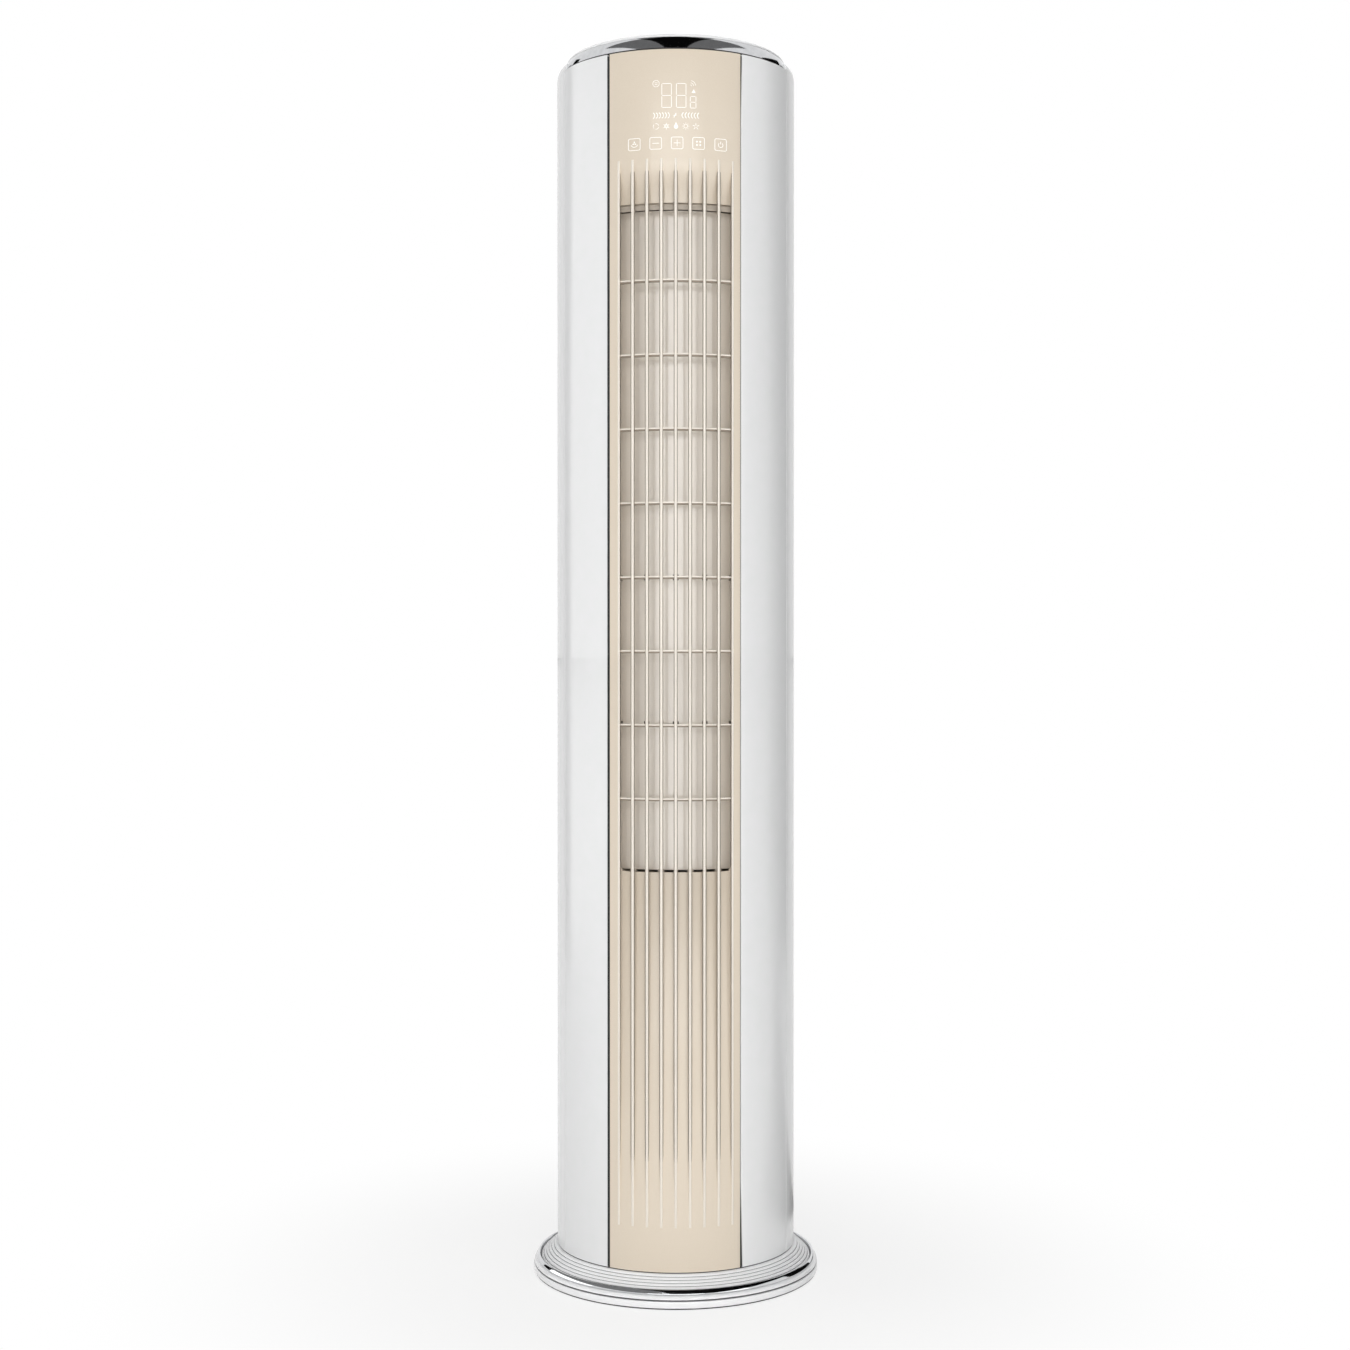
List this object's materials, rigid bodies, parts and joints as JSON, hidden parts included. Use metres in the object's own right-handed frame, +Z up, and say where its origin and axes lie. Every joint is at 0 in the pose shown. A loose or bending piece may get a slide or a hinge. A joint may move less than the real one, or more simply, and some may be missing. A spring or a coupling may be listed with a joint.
{
  "type": "floor standing air conditioner",
  "caption": "Round tower air conditioner with a ribbed champagne front, upright swing vanes over the outlet, a rear filtered intake and a grooved round base.",
  "frame": {"origin": "on the floor, under the middle of the round base and the column's axis", "axes": "+Z up along the column, -Y out of the front panel with the outlet, +X to the right of someone who faces the front"},
  "size_m": [0.42, 0.42, 1.784],
  "materials": {
    "white_shell": "gloss",
    "white_matt": "satin",
    "champagne_panel": "satin",
    "champagne_vane": "satin",
    "duct_plastic": "satin",
    "chrome_trim": "polished",
    "screw_steel": "polished",
    "sheet_steel": "satin",
    "motor_shell": "satin",
    "coil_fins": "satin",
    "capacitor_can": "satin",
    "pipe_copper": "satin",
    "fan_plastic": "matte",
    "black_plastic": "matte",
    "filter_net": "matte",
    "circuit_board": "matte",
    "terminal_plastic": "satin",
    "foot_rubber": "matte"
  },
  "bodies": {
    "column": {"rear_casing": "white_shell", "side_panel_left": "white_shell", "side_panel_right": "white_shell", "top_cap": "white_shell", "base_rim": "white_shell", "base_collar": "white_matt", "pipe_port_cover": "white_matt", "drain_pan": "white_matt", "front_panel": "champagne_panel", "duct_floor_plate": "duct_plastic", "duct_top_plate": "duct_plastic", "duct_wall_left": "duct_plastic", "duct_wall_right": "duct_plastic", "base_trim_ring": "chrome_trim", "top_trim_ring": "chrome_trim", "port_screw_upper": "screw_steel", "port_screw_lower": "screw_steel", "base_plate": "sheet_steel", "frame_post_left": "sheet_steel", "frame_post_right": "sheet_steel", "coil_plate_left": "sheet_steel", "coil_plate_right": "sheet_steel", "motor_plate": "sheet_steel", "control_shelf": "sheet_steel", "control_box": "sheet_steel", "control_box_cover": "sheet_steel", "fan_motor": "motor_shell", "coil": "coil_fins", "capacitor": "capacitor_can", "gas_pipe": "pipe_copper", "liquid_pipe": "pipe_copper", "fan_bearing": "black_plastic", "cable_gland": "black_plastic", "swing_motor": "black_plastic", "display_board": "circuit_board", "touch_key_board": "circuit_board", "main_board": "circuit_board", "terminal_block": "terminal_plastic", "foot_pad_1": "foot_rubber", "foot_pad_2": "foot_rubber", "foot_pad_3": "foot_rubber", "foot_pad_4": "foot_rubber"},
    "fan": {"fan": "fan_plastic"},
    "vane_1": {"vane_1": "champagne_vane"},
    "vane_2": {"vane_2": "champagne_vane"},
    "vane_3": {"vane_3": "champagne_vane"},
    "vane_4": {"vane_4": "champagne_vane"},
    "vane_link": {"vane_link": "black_plastic"},
    "filter_lower": {"filter_cassette_lower": "white_shell", "filter_mesh_lower": "filter_net"},
    "filter_upper": {"filter_cassette_upper": "white_shell", "filter_mesh_upper": "filter_net"}
  },
  "joints": [
    {"name": "fan_spin", "type": "hinge", "parent": "column", "child": "fan", "pos_m": [0, -0.03, 1.07], "axis": [0, 0, 1], "continuous": true},
    {"name": "vane_1_swing", "type": "hinge", "parent": "column", "child": "vane_1", "pos_m": [-0.06006, -0.12424, 1.07], "axis": [0, 0, 1], "range_deg": [0, 100]},
    {"name": "vane_2_swing", "type": "hinge", "parent": "column", "child": "vane_2", "pos_m": [-0.02064, -0.13645, 1.07], "axis": [0, 0, 1], "range_deg": [0, 100]},
    {"name": "vane_3_swing", "type": "hinge", "parent": "column", "child": "vane_3", "pos_m": [0.02064, -0.13645, 1.07], "axis": [0, 0, 1], "range_deg": [0, 100]},
    {"name": "vane_4_swing", "type": "hinge", "parent": "column", "child": "vane_4", "pos_m": [0.06006, -0.12424, 1.07], "axis": [0, 0, 1], "range_deg": [0, 100]},
    {"name": "link_turn", "type": "hinge", "parent": "vane_1", "child": "vane_link", "pos_m": [-0.06006, -0.11024, 0.581], "axis": [0, 0, 1], "range_deg": [-100, 0]},
    {"name": "filter_lower_pull", "type": "slide", "parent": "column", "child": "filter_lower", "axis": [0, 1, 0], "range_m": [0, 0.08]},
    {"name": "filter_upper_pull", "type": "slide", "parent": "column", "child": "filter_upper", "axis": [0, 1, 0], "range_m": [0, 0.08]}
  ],
  "couplings": [
    {"joint": "vane_2_swing", "follows": "vane_1_swing", "ratio": 1},
    {"joint": "vane_3_swing", "follows": "vane_1_swing", "ratio": 1},
    {"joint": "vane_4_swing", "follows": "vane_1_swing", "ratio": 1},
    {"joint": "link_turn", "follows": "vane_1_swing", "ratio": -1}
  ]
}
